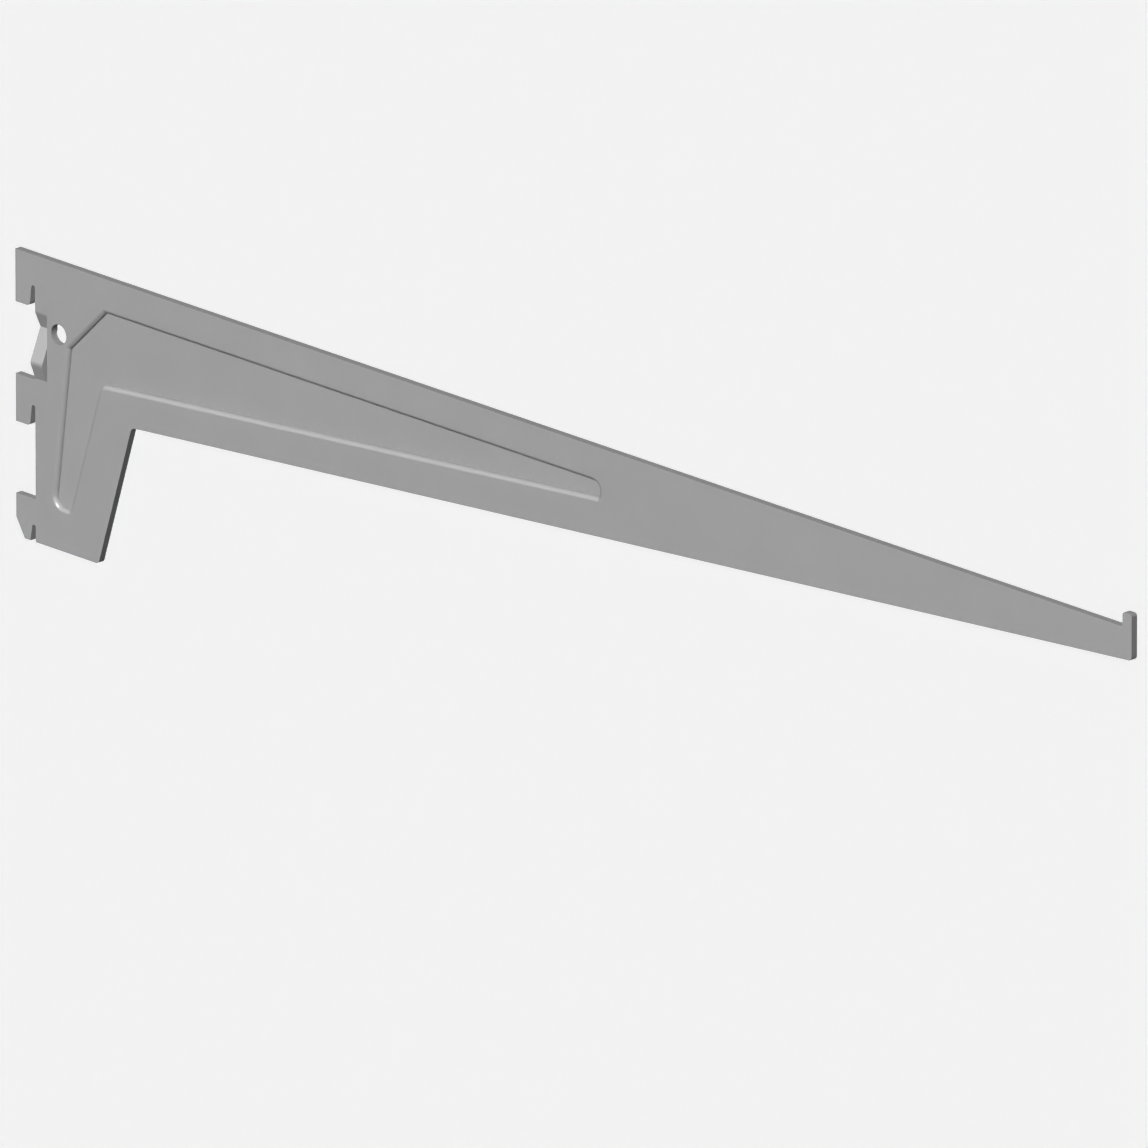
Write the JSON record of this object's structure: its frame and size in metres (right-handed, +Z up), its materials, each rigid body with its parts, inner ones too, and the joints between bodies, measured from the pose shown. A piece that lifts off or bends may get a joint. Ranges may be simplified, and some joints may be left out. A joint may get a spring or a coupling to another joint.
{
  "type": "slotted shelf bracket",
  "caption": "Pressed sheet steel shelf bracket with a long tapered arm, a stop lug at its tip and a leg with slotted hooks for a wall rail.",
  "frame": {"origin": "where the shelf seat meets the plane of the rail's face, at the middle of the sheet's thickness", "axes": "+X out along the arm, away from the wall; +Z up, out of the shelf seat; +Y through the sheet, from the pressed-in side to the raised side"},
  "size_m": [0.617, 0.0085, 0.126],
  "materials": {
    "coated_steel": "satin powder coat"
  },
  "bodies": {
    "root": {"shelf_bracket": "coated_steel"}
  },
  "joints": []
}
